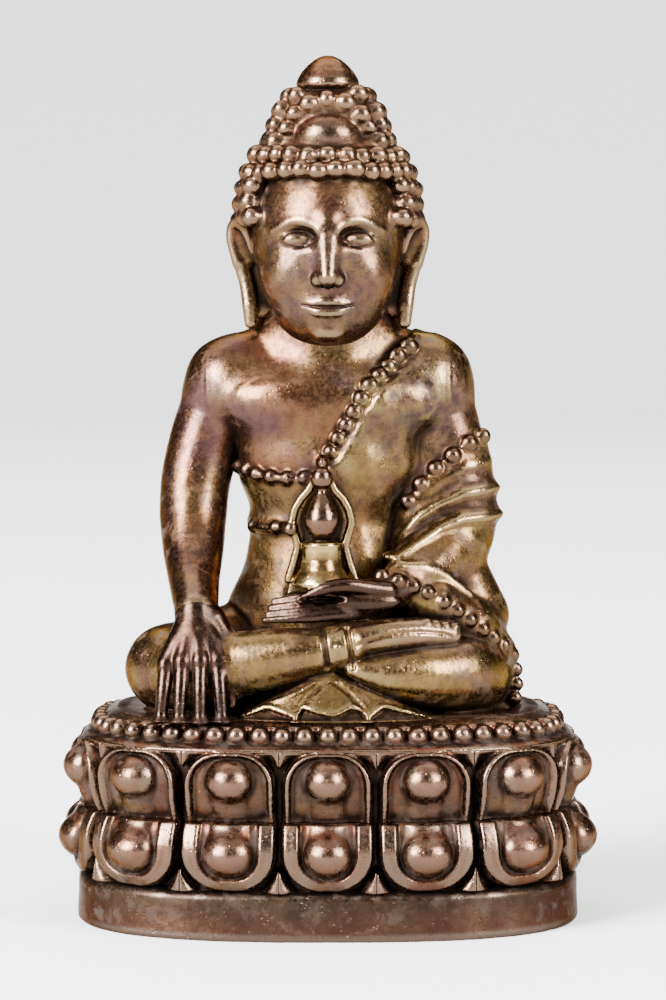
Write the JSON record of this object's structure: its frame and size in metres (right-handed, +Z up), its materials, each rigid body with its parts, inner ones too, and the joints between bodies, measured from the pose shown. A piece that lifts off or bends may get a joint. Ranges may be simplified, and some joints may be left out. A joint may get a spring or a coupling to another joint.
{
  "type": "buddha statue",
  "caption": "Seated figure holding a small vase on a double lotus throne, a hollow cast amulet statue whose closed base holds a loose rattling pellet.",
  "frame": {"origin": "underside of the base, at the middle of its outline", "axes": "+Z up, the figure faces -Y, +X is the figure's left"},
  "size_m": [0.0236, 0.0178, 0.0382],
  "materials": {
    "throne_bronze": "cast bronze, dark brown patina rubbed to copper on the high points",
    "skin_bronze": "polished cast bronze with a brown to violet heat patina",
    "robe_bronze": "cast bronze, golden and finely pitted, dark in the folds",
    "hair_bronze": "cast bronze, dark between the curls",
    "vase_bronze": "cast bronze, rubbed bright",
    "copper_plate": "beaten copper sheet, toned brown",
    "pellet_bronze": "rough cast"
  },
  "bodies": {
    "statue": {"foot_band": "throne_bronze", "throne_core": "throne_bronze", "lower_petal_1": "throne_bronze", "lower_petal_2": "throne_bronze", "lower_petal_3": "throne_bronze", "lower_petal_4": "throne_bronze", "lower_petal_5": "throne_bronze", "lower_petal_6": "throne_bronze", "lower_petal_7": "throne_bronze", "lower_petal_8": "throne_bronze", "lower_petal_9": "throne_bronze", "lower_petal_10": "throne_bronze", "lower_petal_11": "throne_bronze", "lower_petal_12": "throne_bronze", "lower_petal_13": "throne_bronze", "lower_petal_14": "throne_bronze", "upper_petal_1": "throne_bronze", "upper_petal_2": "throne_bronze", "upper_petal_3": "throne_bronze", "upper_petal_4": "throne_bronze", "upper_petal_5": "throne_bronze", "upper_petal_6": "throne_bronze", "upper_petal_7": "throne_bronze", "upper_petal_8": "throne_bronze", "upper_petal_9": "throne_bronze", "upper_petal_10": "throne_bronze", "upper_petal_11": "throne_bronze", "upper_petal_12": "throne_bronze", "upper_petal_13": "throne_bronze", "upper_petal_14": "throne_bronze", "petal_tips": "throne_bronze", "seat_plate": "throne_bronze", "seat_beads": "throne_bronze", "base_plate": "copper_plate", "filler_plug": "copper_plate", "torso": "skin_bronze", "right_arm": "skin_bronze", "right_hand": "skin_bronze", "left_arm": "skin_bronze", "left_hand": "skin_bronze", "right_foot": "skin_bronze", "neck": "skin_bronze", "head": "skin_bronze", "ears": "skin_bronze", "robe": "robe_bronze", "right_leg": "robe_bronze", "left_leg": "robe_bronze", "ankle_band": "robe_bronze", "hem_fan": "robe_bronze", "left_sleeve": "robe_bronze", "knee_drape": "robe_bronze", "hem_beads": "robe_bronze", "hair_cap": "hair_bronze", "hair_curls": "hair_bronze", "topknot": "hair_bronze", "finial": "hair_bronze", "vase_bowl": "vase_bronze", "vase_jar": "vase_bronze", "vase_halo": "vase_bronze"},
    "pellet": {"rattle_pellet": "pellet_bronze"}
  },
  "joints": [
    {"name": "pellet_rattle", "type": "slide", "parent": "statue", "child": "pellet", "axis": [0, 0, 1], "range_m": [0, 0.0037]}
  ]
}
